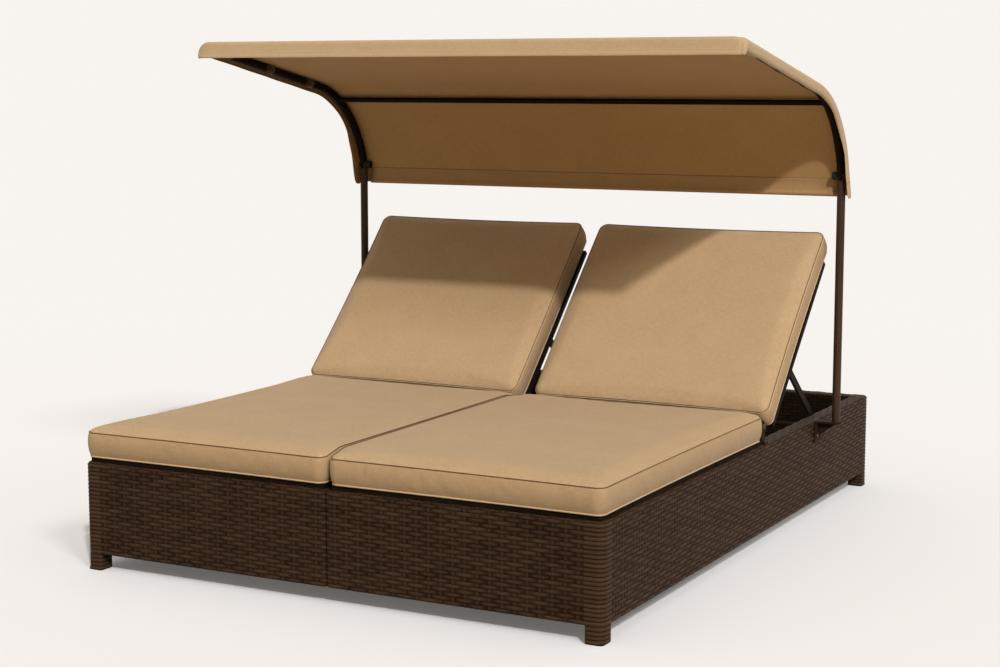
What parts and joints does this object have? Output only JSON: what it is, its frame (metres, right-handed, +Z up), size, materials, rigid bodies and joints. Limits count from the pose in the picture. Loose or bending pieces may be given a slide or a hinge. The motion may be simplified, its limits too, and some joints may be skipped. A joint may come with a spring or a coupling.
{
  "type": "double chaise lounger",
  "caption": "Low woven lounger base for two with seat cushions, separately reclining backs on props, and a fabric canopy on curved arms that tilts at the tops of two poles.",
  "frame": {"origin": "on the floor under the middle of the woven base", "axes": "+X to the right seen from the foot end, +Y from the foot end to the head end, +Z up"},
  "size_m": [1.664, 2, 1.3876],
  "materials": {
    "wicker": "satin woven resin strand",
    "frame_metal": "dark brown powder coat",
    "bracket_metal": "dark brown powder coat",
    "pole_metal": "bronze brown powder coat",
    "steel": "satin",
    "cushion_fabric": "woven outdoor fabric",
    "canopy_cloth": "woven outdoor fabric",
    "plastic": "fine grained"
  },
  "bodies": {
    "base": {"left_wicker_shell": "wicker", "left_side_frame": "frame_metal", "left_end_frames": "frame_metal", "left_centre_frame": "frame_metal", "left_seat_deck": "frame_metal", "left_seat_cushion": "cushion_fabric", "left_outer_hinge_bracket": "bracket_metal", "left_inner_hinge_bracket": "bracket_metal", "left_outer_rack": "bracket_metal", "left_inner_rack": "bracket_metal", "left_pole_foot": "bracket_metal", "left_pole": "pole_metal", "left_pole_head": "bracket_metal", "right_wicker_shell": "wicker", "right_side_frame": "frame_metal", "right_end_frames": "frame_metal", "right_centre_frame": "frame_metal", "right_seat_deck": "frame_metal", "right_seat_cushion": "cushion_fabric", "right_outer_hinge_bracket": "bracket_metal", "right_inner_hinge_bracket": "bracket_metal", "right_outer_rack": "bracket_metal", "right_inner_rack": "bracket_metal", "right_pole_foot": "bracket_metal", "right_pole": "pole_metal", "right_pole_head": "bracket_metal", "hinge_pins": "steel", "bracket_screws": "steel", "rack_screws": "steel", "join_bolts": "steel", "join_spacers": "steel", "foot_glides": "plastic", "deck_screws": "steel", "pole_foot_bolts": "steel", "pole_set_screws": "steel", "pivot_bolts": "steel"},
    "canopy": {"left_canopy_arm": "pole_metal", "right_canopy_arm": "pole_metal", "front_crossbar": "pole_metal", "middle_crossbar": "pole_metal", "rear_hem_rod": "pole_metal", "canopy_fabric": "canopy_cloth", "crossbar_screws": "steel", "arm_end_caps": "plastic"},
    "left_back": {"left_back_frame": "frame_metal", "left_back_cushion": "cushion_fabric"},
    "left_prop": {"left_prop_outer_arm": "bracket_metal", "left_prop_inner_arm": "bracket_metal", "left_prop_foot_bar": "bracket_metal", "left_prop_pins": "steel"},
    "left_knob": {"left_clamp_knob": "plastic"},
    "right_back": {"right_back_frame": "frame_metal", "right_back_cushion": "cushion_fabric"},
    "right_prop": {"right_prop_outer_arm": "bracket_metal", "right_prop_inner_arm": "bracket_metal", "right_prop_foot_bar": "bracket_metal", "right_prop_pins": "steel"},
    "right_knob": {"right_clamp_knob": "plastic"}
  },
  "joints": [
    {"name": "left_back_recline", "type": "hinge", "parent": "base", "child": "left_back", "pos_m": [-0.378, 0.075, 0.336], "axis": [1, 0, 0], "range_deg": [-45, 20]},
    {"name": "left_prop_swing", "type": "hinge", "parent": "left_back", "child": "left_prop", "pos_m": [-0.378, 0.32815, 0.50712], "axis": [1, 0, 0], "range_deg": [-36, 79]},
    {"name": "left_knob_turn", "type": "hinge", "parent": "base", "child": "left_knob", "pos_m": [-0.788, 0.49, 1.00607], "axis": [1, 0, 0], "continuous": true},
    {"name": "right_back_recline", "type": "hinge", "parent": "base", "child": "right_back", "pos_m": [0.378, 0.075, 0.336], "axis": [1, 0, 0], "range_deg": [-45, 20]},
    {"name": "right_prop_swing", "type": "hinge", "parent": "right_back", "child": "right_prop", "pos_m": [0.378, 0.32815, 0.50712], "axis": [1, 0, 0], "range_deg": [-36, 79]},
    {"name": "right_knob_turn", "type": "hinge", "parent": "base", "child": "right_knob", "pos_m": [0.788, 0.49, 1.00607], "axis": [1, 0, 0], "continuous": true},
    {"name": "canopy_tilt", "type": "hinge", "parent": "base", "child": "canopy", "pos_m": [0, 0.49, 1.00607], "axis": [1, 0, 0], "range_deg": [-12, 25]}
  ],
  "couplings": [
    {"joint": "left_prop_swing", "follows": "left_back_recline", "ratio": -1.72},
    {"joint": "right_prop_swing", "follows": "right_back_recline", "ratio": -1.72}
  ]
}
